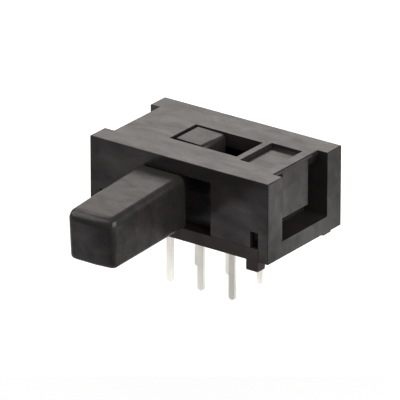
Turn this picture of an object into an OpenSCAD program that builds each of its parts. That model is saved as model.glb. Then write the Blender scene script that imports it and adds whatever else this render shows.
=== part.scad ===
// Side-actuated slide switch for a printed circuit board, two poles, two throws.
// A moulded housing is closed from below by a terminal base with six pins.
// The actuator slides along X. It carries two contact clips and a detent spring.
// Millimetres. Z = 0 is the board's surface. X and Y are zero at the middle of the pins.

/* [Housing] */
// Length of the housing along X, over its corner posts
body_l = 14.4; // [13.8:0.1:17]
// Depth of the housing along Y, over its front and rear faces
body_d = 8.3; // [7.8:0.1:10]
// Height of the housing, from its underside to its top
body_h = 5.66; // [5.5:0.01:8]
// Thickness of the top plate
top_t = 1; // [0.8:0.05:1.1]
// Thickness of the front and rear walls
wall_t = 0.85; // [0.65:0.05:0.9]
// Thickness of each wall between the inner chamber and an end pocket
end_wall_t = 0.8; // [0.6:0.05:1]
// Radius of the housing's outer edges
edge_r = 0.12; // [0.05:0.01:0.2]

/* [End pockets] */
// How far the top plate's ends stand back from the corner posts
end_inset = 0.76; // [0.5:0.01:0.95]
// Thickness of a corner post along Y
post_t = 1.6; // [1.3:0.05:1.9]
// Height of the rail under each end pocket
rail_h = 1.13; // [1.1:0.01:1.6]
// Depth of an end pocket, from the corner posts inwards
pocket_depth = 1.9; // [1.6:0.05:2]
// Gap between the raised panel in a pocket and the corner posts
panel_side_gap = 1.1; // [0.6:0.05:1.4]
// Gap between the panel's lower edge and the rail
panel_low_gap = 1.05; // [0.5:0.05:1.5]
// How far the panel's face stands back from the top plate's end
panel_setback = 0.02; // [0.02:0.01:0.2]
// Radius of the panel's corners
panel_r = 0.15; // [0.05:0.05:0.4]
// Thickness of the top plate's lip over a pocket
lip_t = 0.25; // [0.22:0.01:0.4]
// Radius of the lip's upper edge
lip_r = 0.2; // [0.05:0.01:0.2]
// Length over which a pocket's roof rises to the lip
roof_run = 0.4; // [0.3:0.05:0.6]

/* [Top] */
// Length of the indicator block along X
block_l = 2.36; // [1.8:0.01:2.4]
// Width of the indicator block along Y
block_w = 2.27; // [1.8:0.01:2.5]
// Gap on each side of the block, along Y
block_side_gap = 0.34; // [0.1:0.01:0.4]
// Gap left at each end of the block's travel
block_end_gap = 0.15; // [0.08:0.01:0.2]
// How far the block's top lies below the housing's top
block_drop = 0.03; // [0:0.01:0.3]
// Width of the bar between the window and the recess
recess_bar = 0.66; // [0.5:0.01:0.8]
// Length of the recess along X
recess_l = 2.45; // [1.5:0.05:2.5]
// Width of the recess along Y
recess_w = 3.6; // [2:0.05:4]
// Depth of the recess
recess_depth = 0.4; // [0.2:0.05:0.6]

/* [Base] */
// Thickness of the terminal base
base_t = 0.9; // [0.7:0.05:1]
// Clearance between the base and the housing's rails
base_gap = 0.03; // [0.01:0.01:0.06]
// Length of a foot along X
foot_l = 1; // [0.8:0.05:1.3]
// Width of a foot along Y
foot_w = 0.88; // [0.6:0.01:1.2]
// Height of a foot
foot_h = 0.75; // [0.3:0.05:1.2]
// Radius of a foot's lower edges
foot_r = 0.1; // [0.05:0.01:0.2]
// Length of the relief notch beside each corner post
notch_l = 0.63; // [0.4:0.01:0.7]
// Height of the relief notch above the base
notch_h = 1.15; // [0.6:0.05:1.6]
// Depth of the relief notch
notch_depth = 1; // [0.5:0.05:1.2]
// Radius of the locating pegs
peg_r = 0.35; // [0.25:0.01:0.38]
// Height of the locating pegs above the base
peg_h = 1.4; // [0.8:0.05:2]
// Height of the taper on a peg's end
peg_tip_h = 0.2; // [0.1:0.05:0.4]
// How far that taper draws the end in, all round
peg_tip_inset = 0.15; // [0.05:0.01:0.2]
// Wall between a peg's hole and the inner chamber
peg_wall = 0.2; // [0.15:0.01:0.3]

/* [Actuator] */
// Width of the stem along X, at its shoulder
stem_w = 3.83; // [3:0.01:4.2]
// Height of the stem at its shoulder
stem_h = 3.74; // [3:0.01:4]
// Length of the stem in front of the housing
stem_l = 8.05; // [4:0.05:15]
// Slope of the stem below the horizontal
stem_droop = 3.4; // [0:0.1:4]
// Draft of the stem's four sides, by which it narrows to its tip
stem_draft = 0.75; // [0:0.05:1.5]
// Gap between the housing's front and the stem's shoulder, at mid height
stem_gap = 0.2; // [0.18:0.01:0.5]
// Distance from the middle of the actuator to the middle of the stem
stem_offset = 0.05; // [-0.3:0.01:0.3]
// Distance from the middle of the front slot up to the middle of the shoulder
stem_lift = 0.08; // [-0.1:0.01:0.2]
// Radius of the stem's upper long edges and of its tip's upper corners
stem_top_r = 0.5; // [0.2:0.05:0.7]
// Radius of the stem's lower long edges and of its tip's lower corners
stem_low_r = 0.35; // [0.1:0.05:0.7]
// Width of the flat on the crowned tip
crown_w = 1.45; // [0.8:0.05:1.8]
// Height of the flat on the crowned tip
crown_tall = 2; // [1:0.05:2.2]
// How far the flat stands out beyond the tip's corners
crown_h = 0.2; // [0.05:0.05:0.4]
// Clearance of the neck in the front slot, above and below
neck_gap = 0.1; // [0.08:0.01:0.3]
// Clearance round the carriage, and over and under it
slide_gap = 0.08; // [0.04:0.01:0.12]
// Clearance between the carriage and each stop
stop_gap = 0.05; // [0.02:0.01:0.1]
// Height of the carriage's wings
wing_h = 2.2; // [2.1:0.05:2.4]

/* [Terminals] */
// Distance between pins along X, which is also the actuator's travel
pitch = 2.54; // [2.4:0.01:2.6]
// Distance between the two rows of pins
row_gap = 3.18; // [3.1:0.01:3.3]
// Width of a pin along X
pin_w = 0.5; // [0.4:0.01:0.6]
// Thickness of the terminal strip
pin_t = 0.25; // [0.2:0.01:0.3]
// Length of a pin below the board's surface
pin_l = 3.8; // [2.5:0.05:6]
// Width of a terminal's tab inside the housing
tab_w = 0.9; // [0.7:0.05:1]
// Height of a terminal's tab above the base
tab_h = 1.55; // [1.4:0.05:1.6]
// Radius of the tab's upper corners
tab_r = 0.2; // [0.05:0.05:0.3]
// Clearance round each terminal in the base
pin_gap = 0.02; // [0.01:0.01:0.05]
// Distance from a pin to the edge of the relief round it, under the base
relief_w = 0.2; // [0.1:0.05:0.4]
// Depth of that relief
relief_depth = 0.15; // [0.05:0.05:0.3]

/* [Contact clips] */
// Thickness of the clip's strip
clip_t = 0.12; // [0.08:0.01:0.14]
// Outer width of a clip
clip_w = 0.92; // [0.8:0.01:0.95]
// Width of a contact finger along X
finger_w = 0.8; // [0.5:0.05:1]
// Running clearance between a finger and a tab
finger_gap = 0.02; // [0.01:0.01:0.04]
// Height at which the fingers pinch a tab, above the base
pinch_h = 0.7; // [0.55:0.05:0.85]
// Height of the fingers' ends above the base
finger_foot_h = 0.35; // [0.2:0.05:0.45]
// Height of the clip's side that runs straight down from its web
clip_drop = 0.35; // [0.2:0.05:0.5]
// Clearance of a clip in its pocket
clip_gap = 0.04; // [0.02:0.01:0.06]
// Clearance between a tab and the side of its channel in the actuator
channel_gap = 0.16; // [0.1:0.01:0.2]

/* [Detent spring] */
// Thickness of the detent spring
spring_t = 0.1; // [0.08:0.01:0.14]
// Height of the detent spring's strip
spring_h = 0.9; // [0.6:0.05:1]
// Length of the detent spring
spring_l = 4.2; // [3.6:0.1:4.4]
// Depth of the detent notches in the rear wall
detent_depth = 0.3; // [0.2:0.01:0.35]
// Half the width of a detent notch at the wall
detent_half_w = 0.45; // [0.35:0.01:0.5]
// Room above and below the spring in a detent notch
detent_room = 0.15; // [0.05:0.05:0.25]
// Length of the upturned toe at each end of the spring
toe_l = 0.25; // [0.15:0.05:0.4]
// Rise of that toe
toe_rise = 0.15; // [0.05:0.05:0.2]

/* [Hidden] */
$fn = 48;
// Overrun of a cutting shape past the face that it cuts
over = 0.5;

// Levels, from the board upwards
under_z = foot_h;
base_top_z = under_z + base_t;
top_z = under_z + body_h;
ceiling_z = top_z - top_t;
rail_top_z = under_z + rail_h;
panel_low_z = rail_top_z + panel_low_gap;

// Outlines
plate_x = body_l / 2 - end_inset;
pocket_x = body_l / 2 - pocket_depth;
cavity_l = 2 * (pocket_x - end_wall_t);
cavity_d = body_d - 2 * wall_t;
pocket_w = body_d - 2 * post_t;
base_x = plate_x - base_gap;

// Travel and openings
travel = pitch;
rest_x = -travel / 2;
window_l = block_l + travel + 2 * block_end_gap;
window_w = block_w + 2 * block_side_gap;
slot_l = window_l;
recess_x = window_l / 2 + recess_bar + recess_l / 2;

// Actuator
carriage_l = cavity_l - travel - 2 * stop_gap;
carriage_d = cavity_d - 2 * slide_gap;
carriage_z = base_top_z + slide_gap;
wing_top_z = carriage_z + wing_h;
spine_top_z = ceiling_z - slide_gap;
slot_mid_z = (base_top_z + ceiling_z) / 2;
stem_z = slot_mid_z + stem_lift;
neck_h = ceiling_z - base_top_z - 2 * neck_gap;
neck_bite = 1;

// Terminals, contact clips and their pockets
row_y = row_gap / 2;
tab_top_z = base_top_z + tab_h;
clip_l = pitch + finger_w;
clip_floor_z = tab_top_z + slide_gap;
clip_top_z = clip_floor_z + clip_t;
channel_w = pin_t + 2 * channel_gap;

// Locating pegs
peg_gap = 0.01;
peg_end_gap = 0.1;
peg_x = cavity_l / 2 + peg_r + peg_wall;
peg_y = body_d / 2 - post_t / 2;

// Detent
rear_wall_y = cavity_d / 2;
spring_z = carriage_z + wing_h / 2;
spring_pocket_depth = 0.62;
spring_gap = 0.04;

// A plate with round corners, centred
module round_plate(size, r) {
    square([size.x - 2 * r, size.y], center = true);
    square([size.x, size.y - 2 * r], center = true);
    for (sx = [-1, 1], sy = [-1, 1])
        translate([sx * (size.x / 2 - r), sy * (size.y / 2 - r)])
            circle(r = r);
}

// A box with all its edges round, centred in X and Y, standing on Z = 0
module round_box(size, r) {
    translate([0, 0, size.z / 2])
        intersection() {
            linear_extrude(size.z, center = true)
                round_plate([size.x, size.y], r);
            rotate([90, 0, 0])
                linear_extrude(size.y, center = true)
                    round_plate([size.x, size.z], r);
            rotate([90, 0, 90])
                linear_extrude(size.x, center = true)
                    round_plate([size.y, size.z], r);
        }
}

// A box between two corners
module span(low, high) {
    translate(low)
        cube(high - low);
}

// A strip of even thickness along a chain of points
module strip(points, t) {
    for (i = [0:len(points) - 2]) {
        run = points[i + 1] - points[i];
        translate(points[i])
            rotate(atan2(run.y, run.x))
                translate([0, -t / 2])
                    square([norm(run), t]);
    }
    for (point = points)
        translate(point)
            circle(d = t);
}

// One end pocket, at the +X end: open outwards, with a flat roof that rises to the lip
module end_pocket() {
    rotate([90, 0, 0])
        linear_extrude(pocket_w, center = true)
            polygon([
                [pocket_x, rail_top_z],
                [body_l / 2 + over, rail_top_z],
                [body_l / 2 + over, top_z + over],
                [plate_x, top_z + over],
                [plate_x, top_z - lip_t],
                [plate_x - roof_run, ceiling_z],
                [pocket_x, ceiling_z]
            ]);
}

// The cut that rounds the lip's upper edge, at the +X end
module lip_rounding() {
    rotate([90, 0, 0])
        linear_extrude(pocket_w, center = true)
            translate([plate_x - lip_r, top_z - lip_r])
                difference() {
                    square(lip_r + over);
                    circle(r = lip_r);
                }
}

// The raised panel that stands in an end pocket, at the +X end
module end_panel() {
    panel_w = pocket_w - 2 * panel_side_gap;
    panel_h = top_z - panel_low_z + over;
    panel_t = plate_x - panel_setback - pocket_x;
    translate([pocket_x - over, 0, panel_low_z + panel_h / 2])
        rotate([90, 0, 90])
            linear_extrude(panel_t + over)
                round_plate([panel_w, panel_h], panel_r);
}

// A V notch in the inside of the rear wall, where the detent spring's nose rests
module detent_notch() {
    translate([0, rear_wall_y, spring_z])
        linear_extrude(spring_h + 2 * detent_room, center = true)
            polygon([
                [-detent_half_w, -over],
                [-detent_half_w, 0],
                [0, detent_depth],
                [detent_half_w, 0],
                [detent_half_w, -over]
            ]);
}

// Moulded housing: an H in plan, with the top window, the front slot and the end pockets
module housing() {
    color([0.09, 0.09, 0.09])
        difference() {
            translate([0, 0, under_z])
                round_box([body_l, body_d, body_h], edge_r);
            // seat for the base
            span([-plate_x, -body_d, under_z - over], [plate_x, body_d, base_top_z]);
            // inner chamber
            span([-cavity_l / 2, -cavity_d / 2, under_z],
                 [cavity_l / 2, cavity_d / 2, ceiling_z]);
            // window in the top
            span([-window_l / 2, -window_w / 2, ceiling_z - over],
                 [window_l / 2, window_w / 2, top_z + over]);
            // recess in the top
            span([recess_x - recess_l / 2, -recess_w / 2, top_z - recess_depth],
                 [recess_x + recess_l / 2, recess_w / 2, top_z + over]);
            // slot for the actuator's neck in the front wall
            span([-slot_l / 2, -body_d, under_z], [slot_l / 2, -cavity_d / 2 + over, ceiling_z]);
            for (end = [0, 1])
                mirror([end, 0, 0]) {
                    difference() {
                        end_pocket();
                        end_panel();
                    }
                    lip_rounding();
                    for (side = [0, 1])
                        mirror([0, side, 0]) {
                            // relief notch beside the corner post
                            span([base_x - notch_l, body_d / 2 - notch_depth, under_z],
                                 [base_x, body_d / 2 + over, base_top_z + notch_h]);
                            // hole for a locating peg
                            translate([peg_x, peg_y, under_z])
                                cylinder(r = peg_r + peg_gap, h = base_t + peg_h + peg_end_gap);
                        }
                }
            for (side = [-1, 1])
                translate([side * travel / 2, 0, 0])
                    detent_notch();
        }
}

// Terminal base: a plate with four feet, four locating pegs and six slots for the terminals
module base() {
    color([0.12, 0.1, 0.09])
        difference() {
            union() {
                span([-base_x, -body_d / 2, under_z], [base_x, body_d / 2, base_top_z]);
                for (end = [0, 1], side = [0, 1])
                    mirror([end, 0, 0])
                        mirror([0, side, 0]) {
                            foot();
                            translate([peg_x, peg_y, under_z])
                                cylinder(r = peg_r, h = base_t + peg_h - peg_tip_h);
                            translate([peg_x, peg_y, base_top_z + peg_h - peg_tip_h])
                                cylinder(r1 = peg_r, r2 = peg_r - peg_tip_inset, h = peg_tip_h);
                        }
            }
            for (column = [-1, 0, 1], row = [-1, 1])
                translate([column * pitch, row * row_y, under_z + base_t / 2]) {
                    cube([pin_w + 2 * pin_gap, pin_t + 2 * pin_gap, 2 * base_t], center = true);
                    // shallow relief round the pin, under the base
                    translate([0, 0, -base_t / 2])
                        cube([pin_w + 2 * relief_w, pin_t + 2 * relief_w, 2 * relief_depth],
                             center = true);
                }
        }
}

// One foot, at the +X +Y corner of the base, with its top sunk in the base
module foot() {
    translate([base_x - foot_l / 2, body_d / 2 - foot_w / 2, 0])
        round_box([foot_l, foot_w, foot_h + 2 * foot_r], foot_r);
}

// One terminal, stamped from strip: a pin with a round tip and a wide tab on the base
module terminal(column, row) {
    color([0.8, 0.8, 0.77])
        translate([column * pitch, row * row_y, 0])
            rotate([90, 0, 0])
                linear_extrude(pin_t, center = true) {
                    translate([-pin_w / 2, pin_w / 2 - pin_l])
                        square([pin_w, pin_l - pin_w / 2 + base_top_z + tab_h / 2]);
                    translate([0, pin_w / 2 - pin_l])
                        circle(d = pin_w);
                    translate([0, base_top_z + tab_h / 4])
                        square([tab_w, tab_h / 2], center = true);
                    translate([0, tab_top_z - tab_h / 3])
                        round_plate([tab_w, tab_h * 2 / 3], tab_r);
                }
}

// The stem: a drafted bar from its shoulder to the round corners and the crowned flat of its tip
module stem() {
    $fn = 32;
    bar_l = stem_l - stem_gap - crown_h;
    tip_w = stem_w - 2 * bar_l * tan(stem_draft);
    tip_h = stem_h - 2 * bar_l * tan(stem_draft);
    shoulder_t = 0.1;
    translate([rest_x + stem_offset, -body_d / 2 - stem_gap, stem_z])
        rotate([stem_droop, 0, 0])
            hull() {
                for (side = [-1, 1]) {
                    // upper and lower edges, where they leave the shoulder
                    translate([side * (stem_w / 2 - stem_top_r), 0, stem_h / 2 - stem_top_r])
                        rotate([90, 0, 0])
                            cylinder(r = stem_top_r, h = shoulder_t);
                    translate([side * (stem_w / 2 - stem_low_r), 0, stem_low_r - stem_h / 2])
                        rotate([90, 0, 0])
                            cylinder(r = stem_low_r, h = shoulder_t);
                    // upper and lower corners of the tip
                    translate([side * (tip_w / 2 - stem_top_r), stem_top_r - bar_l,
                               tip_h / 2 - stem_top_r])
                        sphere(r = stem_top_r);
                    translate([side * (tip_w / 2 - stem_low_r), stem_low_r - bar_l,
                               stem_low_r - tip_h / 2])
                        sphere(r = stem_low_r);
                }
                // flat of the crown
                translate([0, -bar_l - crown_h / 2, 0])
                    cube([crown_w, crown_h, crown_tall], center = true);
            }
}

// Actuator, one moulding: stem, neck, carriage with two clip channels, spine and indicator block
module actuator() {
    color([0.08, 0.08, 0.08]) {
        stem();
        difference() {
            union() {
                // neck, through the front slot and into the stem
                translate([rest_x, 0, slot_mid_z])
                    span([-block_l / 2, -body_d / 2 - stem_gap - neck_bite, -neck_h / 2],
                         [block_l / 2, -carriage_d / 2 + over, neck_h / 2]);
                translate([rest_x, 0, 0]) {
                    // wings
                    span([-carriage_l / 2, -carriage_d / 2, carriage_z],
                         [carriage_l / 2, carriage_d / 2, wing_top_z]);
                    // spine
                    span([-block_l / 2, -carriage_d / 2, carriage_z],
                         [block_l / 2, block_w / 2, spine_top_z]);
                    // indicator block
                    span([-block_l / 2, -block_w / 2, spine_top_z - over],
                         [block_l / 2, block_w / 2, top_z - block_drop]);
                }
            }
            translate([rest_x, 0, 0]) {
                for (row = [-1, 1])
                    translate([0, row * row_y, 0]) {
                        // channel in which the tabs run
                        span([-carriage_l, -channel_w / 2, carriage_z - over],
                             [carriage_l, channel_w / 2, clip_floor_z]);
                        // pocket for the contact clip
                        span([-clip_l / 2 - clip_gap, -clip_w / 2 - clip_gap, carriage_z - over],
                             [clip_l / 2 + clip_gap, clip_w / 2 + clip_gap, clip_top_z + clip_gap]);
                    }
                // pocket for the detent spring
                translate([0, carriage_d / 2 - spring_pocket_depth, spring_z])
                    span([-spring_l / 2 - spring_gap, 0, -spring_h / 2 - spring_gap],
                         [spring_l / 2 + spring_gap, over * 2, spring_h / 2 + spring_gap]);
            }
        }
    }
}

// Moving contact: an upside-down U of spring strip, with two pinching fingers on each side
module contact_clip(row) {
    half_w = (clip_w - clip_t) / 2;
    pinch_y = pin_t / 2 + finger_gap + clip_t / 2;
    flare_y = (half_w + pinch_y) / 2;
    web_z = clip_top_z - clip_t / 2;
    // margin of unbroken strip under the web
    web_margin = 0.2;
    side = [
        [half_w, web_z], [half_w, web_z - clip_drop],
        [pinch_y, base_top_z + pinch_h], [flare_y, base_top_z + finger_foot_h]
    ];
    color([0.83, 0.68, 0.42])
        translate([rest_x, row * row_y, 0])
            difference() {
                rotate([90, 0, 90])
                    linear_extrude(clip_l, center = true) {
                        strip([[-half_w, web_z], [half_w, web_z]], clip_t);
                        strip(side, clip_t);
                        mirror([1, 0])
                            strip(side, clip_t);
                    }
                // opening between the two fingers of each side
                translate([0, 0, web_z - web_margin - tab_h])
                    cube([clip_l - 2 * finger_w, 2 * clip_w, 2 * tab_h], center = true);
            }
}

// Detent spring: a bowed strip in the carriage's rear pocket, its nose in a wall notch
module detent_spring() {
    seat_y = carriage_d / 2 - spring_pocket_depth + spring_gap + spring_t / 2;
    shoulder_y = carriage_d / 2 - spring_t;
    nose_y = rear_wall_y + detent_depth - spring_t;
    half_l = spring_l / 2 - spring_t / 2;
    path = [
        [-half_l, seat_y + toe_rise], [toe_l - half_l, seat_y],
        [-detent_half_w, shoulder_y], [0, nose_y], [detent_half_w, shoulder_y],
        [half_l - toe_l, seat_y], [half_l, seat_y + toe_rise]
    ];
    color([0.75, 0.76, 0.78])
        translate([rest_x, 0, spring_z])
            linear_extrude(spring_h, center = true)
                strip(path, spring_t);
}

housing();
base();
terminal(-1, -1);  // terminal_front_left
terminal(0, -1);  // terminal_front_centre
terminal(1, -1);  // terminal_front_right
terminal(-1, 1);  // terminal_rear_left
terminal(0, 1);  // terminal_rear_centre
terminal(1, 1);  // terminal_rear_right
actuator();
contact_clip(-1);  // contact_clip_front
contact_clip(1);  // contact_clip_rear
detent_spring();
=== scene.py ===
import math

import bmesh
import bpy
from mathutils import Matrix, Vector


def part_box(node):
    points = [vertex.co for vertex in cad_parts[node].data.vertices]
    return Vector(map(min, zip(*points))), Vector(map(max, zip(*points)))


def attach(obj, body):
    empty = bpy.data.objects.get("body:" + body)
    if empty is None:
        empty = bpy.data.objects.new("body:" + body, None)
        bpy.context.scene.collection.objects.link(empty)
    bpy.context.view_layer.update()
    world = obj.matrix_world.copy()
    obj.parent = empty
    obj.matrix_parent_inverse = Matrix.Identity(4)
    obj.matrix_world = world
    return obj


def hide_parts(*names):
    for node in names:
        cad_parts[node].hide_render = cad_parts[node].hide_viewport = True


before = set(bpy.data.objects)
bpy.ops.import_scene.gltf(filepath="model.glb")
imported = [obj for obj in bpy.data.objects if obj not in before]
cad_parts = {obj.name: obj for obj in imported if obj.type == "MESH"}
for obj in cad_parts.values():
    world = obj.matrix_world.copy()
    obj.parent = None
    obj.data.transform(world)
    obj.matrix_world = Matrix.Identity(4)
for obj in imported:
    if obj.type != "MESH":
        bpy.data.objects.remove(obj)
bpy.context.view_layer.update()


# --- Housing --------------------------------------------------------------------------------
# One injection moulding in black glass-filled nylon, open below. Its top has the window for the
# indicator block and a blank recess, its front has the slot for the actuator's neck, and each
# end has a pocket with a raised panel between two corner posts.
MM = 0.001


def millimetres(node):
    """The two corners of a CAD node's box, in millimetres."""
    return [Vector(corner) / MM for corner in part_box(node)]


house_low, house_high = millimetres("housing")
half_l = house_high.x
half_d = house_high.y
under_z = house_low.z
top_z = house_high.z

# The terminal base fills the lowest band of the housing's height.
base_t = 0.9
top_t = 1.0
wall_t = 0.85
end_wall_t = 0.8
ceiling_z = top_z - top_t
base_top_z = under_z + base_t

# The top plate stops short of the posts, so that the housing is an H seen from above. Each
# pocket lies between two posts, over a rail.
end_inset = 0.76
post_t = 1.6
rail_h = 1.13
pocket_depth = 1.9
plate_x = half_l - end_inset
pocket_x = half_l - pocket_depth
pocket_y = half_d - post_t
rail_top_z = under_z + rail_h
chamber_x = pocket_x - end_wall_t
chamber_y = half_d - wall_t

# The pocket's roof rises over its last stretch to a thin lip at the plate's end.
roof_run = 0.4
lip_t = 0.25

# The raised panel stands clear of the pocket's sides and of the rail, nearly flush with the plate.
panel_side_gap = 1.1
panel_low_gap = 1.05
panel_setback = 0.02
panel_y = pocket_y - panel_side_gap

# A small relief notch rises from the base beside each post.
notch_l = 0.63
notch_h = 1.15
notch_depth = 0.5
notch_gap = 0.03
notch_x = plate_x - notch_gap

# The window is a little longer than the actuator's slot, more so to the right.
window_left = -2.66
window_right = 2.76
window_w = 2.95
slot_l = 5.2

recess_x = 4.485
recess_l = 2.45
recess_w = 3.6
recess_depth = 0.28

# The lip is rounded most, then the outer corners; the rest is as sharp as a mould leaves it.
lip_r = 0.2
outer_r = 0.12
inner_r = 0.04

# How far a cutter reaches past what it cuts, and how near to a face counts as on it.
over = 0.5
touch = 0.01

# An edge's run has a length of 1. Its share along an axis is over mostly where the edge follows
# that axis, and under hardly where the edge crosses it.
mostly = 0.9
hardly = 0.3


def take(piece):
    """Makes a piece the only selected object."""
    bpy.ops.object.select_all(action="DESELECT")
    bpy.context.view_layer.objects.active = piece
    piece.select_set(True)


def block(low, high):
    """A box between two corners."""
    low, high = Vector(low), Vector(high)
    bpy.ops.object.select_all(action="DESELECT")
    bpy.ops.mesh.primitive_cube_add(size=1, location=(low + high) / 2)
    bpy.context.object.scale = high - low
    bpy.ops.object.transform_apply(location=True, rotation=True, scale=True)
    return bpy.context.object


def span(side, near, far):
    """Two distances from the middle as places on one side of it, the lower first."""
    return sorted((side * near, side * far))


def apply_modifier(piece, kind, **settings):
    """Adds a modifier with its settings and applies it."""
    take(piece)
    modifier = piece.modifiers.new(kind.lower(), kind)
    for key, value in settings.items():
        setattr(modifier, key, value)
    bpy.ops.object.modifier_apply(modifier=modifier.name)


def combine(piece, tool, operation="DIFFERENCE"):
    """Cuts the tool out of a piece, or adds it, and deletes the tool."""
    apply_modifier(piece, "BOOLEAN", object=tool, operation=operation, solver="EXACT")
    bpy.data.objects.remove(tool)


def pick_points(piece, test):
    """Opens a piece in edit mode with only the points that pass the test selected."""
    take(piece)
    bpy.ops.object.mode_set(mode="EDIT")
    bpy.ops.mesh.select_mode(type="VERT")
    bpy.ops.mesh.select_all(action="DESELECT")
    mesh = bmesh.from_edit_mesh(piece.data)
    for point in mesh.verts:
        point.select = test(point.co)
    mesh.select_flush(True)
    bmesh.update_edit_mesh(piece.data)


housing = block(house_low, house_high)
# the base's seat and the chamber
combine(housing, block((-plate_x, -2 * half_d, under_z - over), (plate_x, 2 * half_d, base_top_z)))
combine(housing, block((-chamber_x, -chamber_y, under_z), (chamber_x, chamber_y, ceiling_z)))
for side in (-1, 1):
    # an end pocket, open above beyond the top plate
    low_x, high_x = span(side, plate_x, half_l + over)
    combine(housing, block((low_x, -pocket_y, rail_top_z), (high_x, pocket_y, top_z + over)))
    # its inner part, with a flat roof under the plate that rises to the lip
    low_x, high_x = span(side, pocket_x, plate_x)
    combine(housing, block((low_x, -pocket_y, rail_top_z), (high_x, pocket_y, ceiling_z)))
    low_x, high_x = span(side, plate_x - roof_run, plate_x)
    slope = block((low_x, -pocket_y, rail_top_z), (high_x, pocket_y, ceiling_z))
    pick_points(slope, lambda p: p.z > rail_top_z + over and abs(p.x) > plate_x - roof_run / 2)
    bpy.ops.transform.translate(value=(0, 0, top_t - lip_t))
    bpy.ops.object.mode_set(mode="OBJECT")
    combine(housing, slope)
    # the raised panel, rooted in the end wall and in the top plate
    low_x, high_x = span(side, pocket_x - over, plate_x - panel_setback)
    panel = block((low_x, -panel_y, rail_top_z + panel_low_gap), (high_x, panel_y, top_z - lip_t / 2))
    combine(housing, panel, "UNION")
    # a relief notch beside each corner post, front and rear
    low_x, high_x = span(side, notch_x - notch_l, notch_x)
    for face in (-1, 1):
        low_y, high_y = span(face, half_d - notch_depth, half_d + over)
        combine(housing, block((low_x, low_y, under_z), (high_x, high_y, base_top_z + notch_h)))
# the window, the actuator's slot, and the recess, which cuts into the panel's root
combine(housing, block((window_left, -window_w / 2, ceiling_z - over),
                       (window_right, window_w / 2, top_z + over)))
combine(housing, block((-slot_l / 2, -2 * half_d, under_z), (slot_l / 2, -chamber_y + over, ceiling_z)))
combine(housing, block((recess_x - recess_l / 2, -recess_w / 2, top_z - recess_depth),
                       (recess_x + recess_l / 2, recess_w / 2, top_z + over)))

sharp_angle = math.radians(25)


def tidy_faces(piece):
    """Merges doubled points and the flat faces that the cuts left split."""
    take(piece)
    bpy.ops.object.mode_set(mode="EDIT")
    bpy.ops.mesh.select_all(action="SELECT")
    bpy.ops.mesh.remove_doubles(threshold=0.0005)
    bpy.ops.mesh.dissolve_limited(angle_limit=math.radians(0.5))
    bpy.ops.mesh.normals_make_consistent(inside=False)
    bpy.ops.object.mode_set(mode="OBJECT")


def weigh_edges(piece, share, test):
    """Gives a share of the full radius to the sharp edges whose middle and run pass the test."""
    take(piece)
    bpy.ops.object.mode_set(mode="EDIT")
    mesh = bmesh.from_edit_mesh(piece.data)
    layer = mesh.edges.layers.float.get("bevel_weight_edge")
    if layer is None:
        layer = mesh.edges.layers.float.new("bevel_weight_edge")
    for edge in mesh.edges:
        if len(edge.link_faces) == 2 and edge.calc_face_angle() > sharp_angle:
            start, end = (point.co for point in edge.verts)
            if test((start + end) / 2, (end - start).normalized()):
                edge[layer] = share
    bmesh.update_edit_mesh(piece.data)
    bpy.ops.object.mode_set(mode="OBJECT")


def round_edges(piece, radius, segments=3):
    """Rounds the weighed edges, those with a share of 1 to the full radius."""
    apply_modifier(piece, "BEVEL", limit_method="WEIGHT", width=radius, segments=segments)


def every_edge(middle, run):
    """Takes in all sharp edges."""
    return True


def outer_edge(middle, run):
    """Whether an edge lies where two of the housing's outer faces meet."""
    outer_faces = (abs(middle.x) > half_l - touch, abs(middle.y) > half_d - touch,
                   middle.z > top_z - touch)
    return sum(outer_faces) >= 2


def lip_edge(middle, run):
    """Whether an edge is the end of the top plate."""
    return abs(middle.x) > plate_x - touch and middle.z > top_z - touch and abs(run.y) > mostly


tidy_faces(housing)
weigh_edges(housing, inner_r / lip_r, every_edge)
weigh_edges(housing, outer_r / lip_r, outer_edge)
weigh_edges(housing, 1, lip_edge)
round_edges(housing, lip_r, 4)


def linear(hex_colour):
    """An sRGB hex colour as the linear values that a shader takes."""
    levels = [int(hex_colour[i:i + 2], 16) / 255 for i in (1, 3, 5)]
    return [v / 12.92 if v <= 0.04045 else ((v + 0.055) / 1.055) ** 2.4 for v in levels] + [1]


def add_node(material, kind, inputs=None, **settings):
    """Adds a node. Each input is a value, or the output of another node."""
    node = material.node_tree.nodes.new(kind)
    for key, value in settings.items():
        setattr(node, key, value)
    for key, value in (inputs or {}).items():
        if isinstance(value, bpy.types.NodeSocket):
            material.node_tree.links.new(value, node.inputs[key])
        else:
            node.inputs[key].default_value = value
    return node


# Noise seldom leaves the middle of its range, so these ends bring out its whole contrast.
noise_low = 0.3
noise_high = 0.7
# Inputs 6 and 7 of a colour mix are its two colours, and output 2 is the mixed one.
mix_first, mix_second, mix_result = 6, 7, 2


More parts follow.
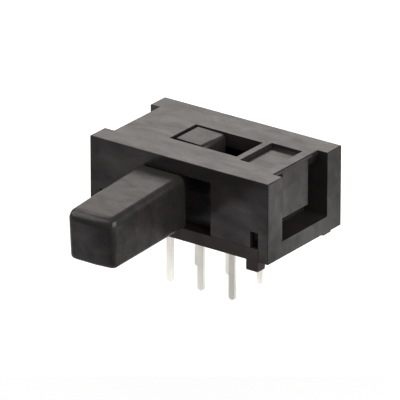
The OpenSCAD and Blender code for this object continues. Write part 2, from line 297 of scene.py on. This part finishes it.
def moulded_plastic(name, deep, pale, roughness, ior, grain_depth_mm, smear_mm, shine, rub):
    """A moulded surface: the mould's fine grain, slow waves where the melt flowed and sank, and
    smears that handling has dulled or polished. The sheen changes by rub either way of shine."""
    # A mould's eroded grain is some 0.02 mm wide and too fine to show, so it is drawn coarser.
    grain_mm = 0.09
    flow_mm = 2.5
    wave_depth_mm = 0.004
    glossiest, dullest = 0.85 * roughness, 1.2 * roughness
    material = bpy.data.materials.new(name)
    material.use_nodes = True
    shader = material.node_tree.nodes["Principled BSDF"]
    place = add_node(material, "ShaderNodeTexCoord").outputs["Object"]
    flow = add_node(material, "ShaderNodeTexNoise",
                    {"Vector": place, "Scale": 1 / (flow_mm * MM), "Detail": 2, "Roughness": 0.5})
    grain = add_node(material, "ShaderNodeTexNoise",
                     {"Vector": place, "Scale": 1 / (grain_mm * MM), "Detail": 1})
    # A finger rubs along the slide's travel, so a smear is longer that way than across.
    stretch = add_node(material, "ShaderNodeMapping", {"Vector": place, "Scale": (0.6, 1.3, 1)})
    smears = add_node(material, "ShaderNodeTexNoise",
                      {"Vector": stretch.outputs["Vector"], "Scale": 1 / (smear_mm * MM), "Detail": 4,
                       "Roughness": 0.6, "Distortion": 0.6})
    worn = add_node(material, "ShaderNodeMapRange",
                    {"Value": smears.outputs["Fac"], "From Min": noise_low, "From Max": noise_high})
    tone = add_node(material, "ShaderNodeMix",
                    {0: worn.outputs["Result"], mix_first: linear(deep), mix_second: linear(pale)},
                    data_type="RGBA")
    gloss = add_node(material, "ShaderNodeMapRange",
                     {"Value": flow.outputs["Fac"], "From Min": noise_low, "From Max": noise_high,
                      "To Min": glossiest, "To Max": dullest})
    sheen = add_node(material, "ShaderNodeMapRange",
                     {"Value": worn.outputs["Result"], "To Min": shine - rub, "To Max": shine + rub})
    wave = add_node(material, "ShaderNodeBump",
                    {"Height": flow.outputs["Fac"], "Strength": 1, "Distance": wave_depth_mm * MM})
    relief = add_node(material, "ShaderNodeBump",
                      {"Height": grain.outputs["Fac"], "Strength": 1,
                       "Distance": grain_depth_mm * MM, "Normal": wave.outputs["Normal"]})
    links = material.node_tree.links
    links.new(tone.outputs[mix_result], shader.inputs["Base Color"])
    links.new(gloss.outputs["Result"], shader.inputs["Roughness"])
    links.new(sheen.outputs["Result"], shader.inputs["Specular IOR Level"])
    links.new(relief.outputs["Normal"], shader.inputs["Normal"])
    shader.inputs["IOR"].default_value = ior
    return material


# Glass-filled nylon from a satin mould: a warm black whose low sheen is clouded where handling
# has rubbed it. Its IOR is set under nylon's 1.53 to match how weakly that skin mirrors.
nylon = moulded_plastic("black_glass_filled_nylon_moulded", "#1f1e1e", "#2a2625", roughness=0.2,
                        ior=1.4, grain_depth_mm=0.0006, smear_mm=1.2, shine=0.5, rub=0.2)

smooth_angle = math.radians(40)


def dress(piece, name, material):
    """Names a piece, brings it to metres with its place in its mesh, and gives it its material."""
    take(piece)
    piece.name = name
    piece.data.name = name
    piece.scale = (MM, MM, MM)
    bpy.ops.object.transform_apply(location=True, rotation=True, scale=True)
    bpy.ops.object.shade_smooth_by_angle(angle=smooth_angle)
    apply_modifier(piece, "WEIGHTED_NORMAL", keep_sharp=True)
    piece.data.materials.clear()
    piece.data.materials.append(material)


dress(housing, "housing_shell", nylon)
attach(housing, "body")
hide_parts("housing")


# --- Terminal base --------------------------------------------------------------------------
# A plate moulded in brown-black phenolic that closes the housing from below. It stands on four
# feet, holds the six terminals in slots, and four pegs locate it in the housing.
foot_l = 1.0
foot_w = 0.88
foot_r = 0.1
plate_edge_r = 0.03
base_x = millimetres("base")[1].x

peg_r = 0.35
peg_h = 1.4
peg_lead_r = 0.12
peg_root = 0.01
peg_gap = 0.2
peg_x = chamber_x + peg_r + peg_gap
peg_y = half_d - post_t / 2

front_low, front_high = millimetres("terminal_front_centre")
pin_w = 0.5
pin_t = front_high.y - front_low.y
pin_gap = 0.02
# A shallow dip round each pin, where the joint is sealed.
dip_gap = 0.2
dip_depth = 0.15


def middle_x(node):
    """Where a CAD node's middle is along the slide's travel."""
    low, high = millimetres(node)
    return (low.x + high.x) / 2


columns = ("left", "centre", "right")
pin_xs = [middle_x("terminal_front_" + column) for column in columns]
row_y = -(front_low.y + front_high.y) / 2


def around_pin(x, y, gap, low_z, high_z):
    """A block round a pin's place, with a gap on each side of the pin."""
    half_w = pin_w / 2 + gap
    half_t = pin_t / 2 + gap
    return block((x - half_w, y - half_t, low_z), (x + half_w, y + half_t, high_z))


def copy_at(piece, place):
    """A copy of a piece with its own mesh, moved to its place."""
    twin = piece.copy()
    twin.data = piece.data.copy()
    bpy.context.scene.collection.objects.link(twin)
    twin.location = place
    take(twin)
    bpy.ops.object.transform_apply(location=True, rotation=True, scale=True)
    return twin


base = block((-base_x, -half_d, under_z), (base_x, half_d, base_top_z))
for side in (-1, 1):
    for face in (-1, 1):
        low_x, high_x = span(side, base_x - foot_l, base_x)
        low_y, high_y = span(face, half_d - foot_w, half_d)
        combine(base, block((low_x, low_y, 0), (high_x, high_y, under_z + over)), "UNION")
for x in pin_xs:
    for y in (-row_y, row_y):
        combine(base, around_pin(x, y, pin_gap, under_z - over, base_top_z + over))
        combine(base, around_pin(x, y, dip_gap, under_z - over, under_z + dip_depth))
tidy_faces(base)
weigh_edges(base, plate_edge_r / foot_r, every_edge)
weigh_edges(base, 1, lambda middle, run: middle.z < under_z - touch)
round_edges(base, foot_r)

bpy.ops.object.select_all(action="DESELECT")
bpy.ops.mesh.primitive_cylinder_add(vertices=32, radius=peg_r, depth=peg_h,
                                    location=(0, 0, base_top_z + peg_h / 2 - peg_root))
peg = bpy.context.object
bpy.ops.object.transform_apply(location=True, rotation=True, scale=True)
weigh_edges(peg, 1, lambda middle, run: middle.z > base_top_z + peg_h / 2)
round_edges(peg, peg_lead_r)
for x in (-peg_x, peg_x):
    for y in (-peg_y, peg_y):
        combine(base, copy_at(peg, (x, y, 0)), "UNION")
bpy.data.objects.remove(peg)

# Wood-filled phenolic, pressed: browner and duller than the nylon above it, so that the base
# reads as a separate band. Its IOR is set under phenolic's 1.6 to match its weak mirror.
phenolic = moulded_plastic("dark_phenolic_moulded", "#241c19", "#2c2220", roughness=0.3,
                           ior=1.4, grain_depth_mm=0.0008, smear_mm=1.2, shine=0.5, rub=0.1)
dress(base, "terminal_base", phenolic)
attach(base, "body")
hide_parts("base")


# --- Terminals ------------------------------------------------------------------------------
# Six blades stamped from brass strip and tin plated. Below the base each is a round-tipped pin
# for the board; above it a wider tab stands in the chamber, where the contact clips pinch it.
tab_w = 0.9
tab_corner_r = 0.2
pin_low_z = front_low.z
pin_root = 0.2
tab_top_z = front_high.z
# The tip's two roundings stop just short of each other, and the punch eases every edge.
tip_share = 0.98
punch_r = 0.035

terminal = block((-pin_w / 2, -pin_t / 2, pin_low_z), (pin_w / 2, pin_t / 2, base_top_z + pin_root))
weigh_edges(terminal, 1, lambda middle, run: abs(run.y) > mostly and middle.z < 0)
round_edges(terminal, pin_w / 2 * tip_share, 8)
tab = block((-tab_w / 2, -pin_t / 2, base_top_z), (tab_w / 2, pin_t / 2, tab_top_z))
weigh_edges(tab, 1, lambda middle, run: abs(run.y) > mostly and middle.z > base_top_z + touch)
round_edges(tab, tab_corner_r, 5)
combine(terminal, tab, "UNION")
tidy_faces(terminal)
# the old weights go, so that only the edges of the two flat faces are eased
terminal.data.attributes.remove(terminal.data.attributes["bevel_weight_edge"])
weigh_edges(terminal, 1, lambda middle, run: abs(run.y) < hardly)
round_edges(terminal, punch_r, 2)


def rolled_metal(name, bright, dull, roughness, line_mm, stretch):
    """A metal strip: lines left by the rolls, long where the stretch is small, and a tone that
    clouds. Real rolling lines are some 0.01 mm wide, and line_mm draws them as coarse as shows."""
    cloud_mm = 0.8
    line_depth_mm = 0.001
    glossiest, dullest = 0.8 * roughness, 1.25 * roughness
    material = bpy.data.materials.new(name)
    material.use_nodes = True
    shader = material.node_tree.nodes["Principled BSDF"]
    shader.inputs["Metallic"].default_value = 1
    place = add_node(material, "ShaderNodeTexCoord").outputs["Object"]
    cloud = add_node(material, "ShaderNodeTexNoise",
                     {"Vector": place, "Scale": 1 / (cloud_mm * MM), "Detail": 3, "Roughness": 0.6})
    tone = add_node(material, "ShaderNodeMix",
                    {0: cloud.outputs["Fac"], mix_first: linear(dull), mix_second: linear(bright)},
                    data_type="RGBA")
    drawn = add_node(material, "ShaderNodeMapping", {"Vector": place, "Scale": stretch})
    lines = add_node(material, "ShaderNodeTexNoise",
                     {"Vector": drawn.outputs["Vector"], "Scale": 1 / (line_mm * MM), "Detail": 2})
    gloss = add_node(material, "ShaderNodeMapRange",
                     {"Value": lines.outputs["Fac"], "From Min": noise_low, "From Max": noise_high,
                      "To Min": glossiest, "To Max": dullest})
    relief = add_node(material, "ShaderNodeBump",
                      {"Height": lines.outputs["Fac"], "Strength": 1, "Distance": line_depth_mm * MM})
    links = material.node_tree.links
    links.new(tone.outputs[mix_result], shader.inputs["Base Color"])
    links.new(gloss.outputs["Result"], shader.inputs["Roughness"])
    links.new(relief.outputs["Normal"], shader.inputs["Normal"])
    return material


# Tin plate, electroplated over stamped brass: a soft white shine, a little yellow where it is
# thin, with the strip's rolling lines running down the pin.
tin = rolled_metal("tin_plate_on_rolled_brass", "#fbfaf5", "#efece1", roughness=0.45,
                   line_mm=0.12, stretch=(1, 1, 0.15))
for row, y in (("front", -row_y), ("rear", row_y)):
    for column, x in zip(columns, pin_xs):
        blade = copy_at(terminal, (x, y, 0))
        dress(blade, f"blade_{row}_{column}", tin)
        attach(blade, "body")
        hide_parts(f"terminal_{row}_{column}")
bpy.data.objects.remove(terminal)


# --- Actuator -------------------------------------------------------------------------------
# One acetal moulding: the operator's stem, a neck through the front slot, the carriage that runs
# in the chamber with a channel over each row of terminals, and the indicator block in the window.
travel = pin_xs[1] - pin_xs[0]
rest_x = -travel / 2
slot_mid_z = (base_top_z + ceiling_z) / 2

stem_w = 3.83
stem_h = 3.74
stem_l = 8.05
stem_droop = math.radians(3.4)
stem_draft = math.radians(0.75)
# The stem starts clear of the housing's front, a little off the middle of the neck.
stem_gap = 0.2
stem_offset = 0.05
stem_lift = 0.08
stem_z = slot_mid_z + stem_lift
# The end stops a hair short of the solid's, so that its corners stay inside the solid's box.
tip_short = 0.02
bar_l = stem_l - stem_gap - tip_short
tip_r = 0.7
stem_top_r = 0.5
stem_low_r = 0.35
tip_side_r = 0.42
# The end face is flat between these two places and falls back to the right and to the left.
flat_right = 0.3
flat_left = -1.15
fall_right_deg = 6.5
fall_left_deg = 4

# The carriage's wings run on the base, clear of the chamber's walls, and stop short of its ends.
slide_gap = 0.08
stop_gap = 0.05
wing_h = 2.2
carriage_r = 0.05
carriage_l = 2 * chamber_x - travel - 2 * stop_gap
carriage_y = chamber_y - slide_gap
carriage_z = base_top_z + slide_gap
wing_top_z = carriage_z + wing_h
spine_top_z = ceiling_z - slide_gap

# The neck, the spine and the indicator block are as long as each other in the part's source.
# Here the indicator starts a little further right and reaches a little further to the rear.
block_l = 2.36
block_w = 2.27
indicator_inset = 0.12
indicator_rear = 0.13
indicator_drop = 0.03
indicator_fall = 0.05
indicator_r = 0.3

neck_gap = 0.1
neck_root = 1
neck_half = (ceiling_z - base_top_z) / 2 - neck_gap

# Room in the carriage for the terminals' tabs, the clips that pinch them and the spring.
channel_half = 0.285
clip_pocket_half = 0.5
spring_pocket_depth = 0.62
pocket_gap = 0.04

# the stem, drafted to its tip, where the crowned end falls back to both sides
stem = block((-stem_w / 2, -bar_l, -stem_h / 2), (stem_w / 2, 0, stem_h / 2))
draft = 2 * bar_l * math.tan(stem_draft)
pick_points(stem, lambda p: p.y < -bar_l / 2)
bpy.ops.transform.resize(value=((stem_w - draft) / stem_w, 1, (stem_h - draft) / stem_h),
                         center_override=(0, -bar_l, 0))
bpy.ops.object.mode_set(mode="OBJECT")
for flat_edge, turn_deg in ((flat_right, fall_right_deg), (flat_left, -fall_left_deg)):
    low_x, high_x = sorted((0, math.copysign(stem_w, turn_deg)))
    wedge = block((low_x, -2 * over, -stem_h), (high_x, 0, stem_h))
    wedge.rotation_euler.z = math.radians(turn_deg)
    wedge.location = (flat_edge, -bar_l, 0)
    take(wedge)
    bpy.ops.object.transform_apply(location=True, rotation=True, scale=True)
    combine(stem, wedge)


def upper_stem(middle):
    """Whether an edge lies in the stem's upper half, clear of its sharp root at the neck."""
    return middle.z > stem_h / 4 and middle.y < -over


def lower_stem(middle):
    """Whether an edge lies in the stem's lower half, clear of its root."""
    return middle.z < -stem_h / 4 and middle.y < -over


def tip_side(middle, run):
    """Whether an edge stands upright at the stem's end."""
    return abs(run.z) > mostly and middle.y < -over


weigh_edges(stem, stem_top_r / tip_r, lambda middle, run: upper_stem(middle) and abs(run.z) < hardly)
weigh_edges(stem, 1, lambda middle, run: upper_stem(middle) and abs(run.x) > mostly)
weigh_edges(stem, stem_low_r / tip_r, lambda middle, run: lower_stem(middle) and abs(run.z) < hardly)
weigh_edges(stem, tip_side_r / tip_r, tip_side)
round_edges(stem, tip_r, 8)
stem.rotation_euler.x = stem_droop
stem.location = (rest_x + stem_offset, -half_d - stem_gap, stem_z)
take(stem)
bpy.ops.object.transform_apply(location=True, rotation=True, scale=True)

# the carriage's wings and the spine along its middle
actuator = block((rest_x - carriage_l / 2, -carriage_y, carriage_z),
                 (rest_x + carriage_l / 2, carriage_y, wing_top_z))
combine(actuator, block((rest_x - block_l / 2, -carriage_y, carriage_z),
                        (rest_x + block_l / 2, block_w / 2, spine_top_z)), "UNION")
# the indicator block, whose top falls to a round right edge
indicator = block((rest_x - block_l / 2 + indicator_inset, -block_w / 2, spine_top_z - over),
                  (rest_x + block_l / 2, block_w / 2 + indicator_rear, top_z - indicator_drop))
pick_points(indicator, lambda p: p.z > spine_top_z and p.x > rest_x)
bpy.ops.transform.translate(value=(0, 0, -indicator_fall))
bpy.ops.object.mode_set(mode="OBJECT")


def right_top_edge(middle, run):
    """Whether an edge is the one that the indicator block's top falls to."""
    return abs(run.y) > mostly and middle.z > spine_top_z and middle.x > rest_x


weigh_edges(indicator, 1, right_top_edge)
round_edges(indicator, indicator_r, 5)
combine(actuator, indicator, "UNION")
# the neck, out through the slot into the stem's root
combine(actuator, block((rest_x - block_l / 2, -half_d - stem_gap - neck_root, slot_mid_z - neck_half),
                        (rest_x + block_l / 2, -carriage_y + over, slot_mid_z + neck_half)), "UNION")
# a channel over each row of terminals, a pocket for each clip, and one for the spring
clip_low, clip_high = millimetres("contact_clip_front")
for y in (-row_y, row_y):
    combine(actuator, block((rest_x - carriage_l, y - channel_half, carriage_z - over),
                            (rest_x + carriage_l, y + channel_half, tab_top_z + slide_gap)))
    combine(actuator, block((clip_low.x - pocket_gap, y - clip_pocket_half, carriage_z - over),
                            (clip_high.x + pocket_gap, y + clip_pocket_half, clip_high.z + pocket_gap)))
spring_low, spring_high = millimetres("detent_spring")
combine(actuator, block((spring_low.x - pocket_gap, carriage_y - spring_pocket_depth,
                         spring_low.z - pocket_gap),
                        (spring_high.x + pocket_gap, carriage_y + over, spring_high.z + pocket_gap)))
tidy_faces(actuator)
weigh_edges(actuator, 1, every_edge)
round_edges(actuator, carriage_r, 2)
combine(actuator, stem, "UNION")

# Acetal: a smooth, slightly waxy black, clouded and a little browner where fingers push it. Its
# IOR is set a little under acetal's 1.48 to match its mirror.
acetal = moulded_plastic("black_acetal_moulded", "#201f1f", "#292625", roughness=0.27,
                         ior=1.4, grain_depth_mm=0.0006, smear_mm=1.0, shine=0.46, rub=0.17)
dress(actuator, "actuator_moulding", acetal)
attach(actuator, "slider")
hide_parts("actuator")


# --- Contact clips and detent spring --------------------------------------------------------
# Two contact clips bent from silver-plated phosphor bronze strip and the detent spring bent from
# stainless spring strip. They sit in pockets of the carriage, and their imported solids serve.

# Silver plate over rolled bronze: a warm pale shine, slightly clouded.
bronze = rolled_metal("silver_plate_on_phosphor_bronze", "#e6ddc4", "#cdbb92", roughness=0.3,
                      line_mm=0.1, stretch=(0.15, 1, 1))
# Stainless spring strip as rolled: cold, brighter, with fine lines along the strip.
steel = rolled_metal("rolled_stainless_spring_strip", "#c9cbcd", "#a9acaf", roughness=0.24,
                     line_mm=0.08, stretch=(0.15, 1, 1))
for node_name, metal in (("contact_clip_front", bronze), ("contact_clip_rear", bronze),
                         ("detent_spring", steel)):
    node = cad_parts[node_name]
    node.data.materials.clear()
    node.data.materials.append(metal)


# --- Studio ---------------------------------------------------------------------------------
# A table of white paper, seven soft boxes round the switch, a faint even light from all round,
# and a camera with a long lens. Sizes in this section are metres, apart from those named mm.
scene = bpy.context.scene
scene.view_settings.view_transform = "Standard"

bpy.ops.object.select_all(action="DESELECT")
bpy.ops.mesh.primitive_plane_add(size=2, location=(0, 0, pin_low_z * MM))
table = bpy.context.object
table.name = "table"

# Matt white paper. The camera sees it white all over, though its colour is painted darker some way in
# front of the switch: painted shade, which the glossy faces mirror as dark. Mirror rays see it glow in
# two bands, near the pins and further out, and hardly between them: painted reflections, which give the
# gloss of the front its dark and its pale parts.
paper = bpy.data.materials.new("white_paper")
paper.use_nodes = True
paper_shader = paper.node_tree.nodes["Principled BSDF"]
paper_shader.inputs["Roughness"].default_value = 0.9
paper_shader.inputs["Emission Color"].default_value = linear("#ffffff")
place = add_node(paper, "ShaderNodeTexCoord").outputs["Object"]
# How far in front of the switch's middle a spot lies, towards the camera.
towards_camera = (0.588, -0.809, 0)
reach = add_node(paper, "ShaderNodeVectorMath", {0: place, 1: towards_camera}, operation="DOT_PRODUCT")
# The darker grey, from 13 to 15 mm in front on, is painted shade on the paper, there for the glossy
# faces to mirror.
near_grey, painted_shade_grey = linear("#bcbcbc")[0], linear("#595959")[0]
shade_from_mm, shade_to_mm = 13, 15
shade = add_node(paper, "ShaderNodeMapRange",
                 {"Value": reach.outputs["Value"], "From Min": shade_from_mm * MM,
                  "From Max": shade_to_mm * MM, "To Min": near_grey, "To Max": painted_shade_grey})
paper.node_tree.links.new(shade.outputs["Result"], paper_shader.inputs["Base Color"])

# The glow in a mirror ray, by how far in front a spot lies: a painted reflection, since the paper is no
# lamp.
near_mm, far_mm = -6, 20
painted_reflection_bands = ((-5, 0.05), (-3, 0.25), (-1, 0.65), (0.3, 0.85), (1.6, 0.45), (4, 0.02),
              (10.4, 0.02), (11.4, 0.65), (12.6, 0.65), (14.4, 0))
along = add_node(paper, "ShaderNodeMapRange",
                 {"Value": reach.outputs["Value"], "From Min": near_mm * MM, "From Max": far_mm * MM})
bands = add_node(paper, "ShaderNodeValToRGB", {"Fac": along.outputs["Result"]})
for end in bands.color_ramp.elements:
    end.color = linear("#000000")
for reach_mm, level in painted_reflection_bands:
    mark = bands.color_ramp.elements.new((reach_mm - near_mm) / (far_mm - near_mm))
    mark.color = (level, level, level, 1)
rays = add_node(paper, "ShaderNodeLightPath")
mirrored = add_node(paper, "ShaderNodeMath",
                    {0: rays.outputs["Is Glossy Ray"], 1: rays.outputs["Is Transmission Ray"]},
                    operation="MAXIMUM")
# Only mirror rays get the bands' glow, which paints the reflections in the glossy faces.
painted_reflection_strength = add_node(paper, "ShaderNodeMath", {0: mirrored.outputs[0], 1: bands.outputs["Color"]},
                     operation="MULTIPLY")
# The soft boxes light the paper too, so a little less than 1 is enough for white.
camera_glow = 0.85
glow = add_node(paper, "ShaderNodeMath",
                {0: rays.outputs["Is Camera Ray"], 1: camera_glow, 2: painted_reflection_strength.outputs[0]},
                operation="MULTIPLY_ADD")
paper.node_tree.links.new(glow.outputs[0], paper_shader.inputs["Emission Strength"])
table.data.materials.append(paper)

world = bpy.data.worlds.new("white_tent")
scene.world = world
world.use_nodes = True
sky = world.node_tree.nodes["Background"]
sky.inputs["Color"].default_value = linear("#ffffff")
sky.inputs["Strength"].default_value = 0.28

# Lamps and camera stand this far from the switch.
stand_off = 0.4


def direction(azimuth_deg, elevation_deg):
    """Away from the switch, the azimuth counted from its front towards its right end."""
    azimuth, elevation = math.radians(azimuth_deg), math.radians(elevation_deg)
    return Vector((math.sin(azimuth) * math.cos(elevation), -math.cos(azimuth) * math.cos(elevation),
                   math.sin(elevation)))


def softbox(name, azimuth_deg, elevation_deg, width, height, radiance, colour):
    """A lamp that faces the switch, its power worked out from the radiance of its face."""
    outwards = direction(azimuth_deg, elevation_deg)
    data = bpy.data.lights.new(name, "AREA")
    data.shape = "RECTANGLE"
    data.size = width
    data.size_y = height
    data.energy = math.pi * width * height * radiance
    data.color = linear(colour)[:3]
    lamp = bpy.data.objects.new(name, data)
    scene.collection.objects.link(lamp)
    lamp.location = outwards * stand_off
    lamp.rotation_euler = outwards.to_track_quat("Z", "Y").to_euler()


# The back ones give the tops their sheen, and the upper left one the rounding of the stem's end.
# The left one lights the fronts, and the right ones the stem's side and the housing's right end.
warm = "#fff7f0"
neutral = "#fffdfb"
softbox("back_low_softbox", 216, 14, 0.34, 0.16, 0.77, warm)
softbox("back_softbox", 216, 31, 0.3, 0.12, 1.6, warm)
softbox("upper_left_softbox", 245, 54, 0.16, 0.16, 2.3, warm)
softbox("top_softbox", 36, 82, 0.3, 0.3, 0.3, neutral)
softbox("left_softbox", 300, 38, 0.3, 0.3, 2.6, neutral)
softbox("right_softbox", 88, 22, 0.5, 0.3, 4.7, neutral)
softbox("front_right_softbox", 50, 45, 0.3, 0.3, 0.5, neutral)

# The view is from the front, the right and above, and its middle lies just behind the left pins.
view_point = Vector((-0.0028950, 0.0022484, 0.0006455))
back = direction(36.037, 22.99)
camera_data = bpy.data.cameras.new("camera")
camera_data.sensor_width = 36
camera_data.lens = 540.79
camera_data.clip_start = 0.01
camera_data.clip_end = 10
camera = bpy.data.objects.new("camera", camera_data)
scene.collection.objects.link(camera)
camera.location = view_point + stand_off * back
camera.rotation_euler = back.to_track_quat("Z", "Y").to_euler()
scene.camera = camera
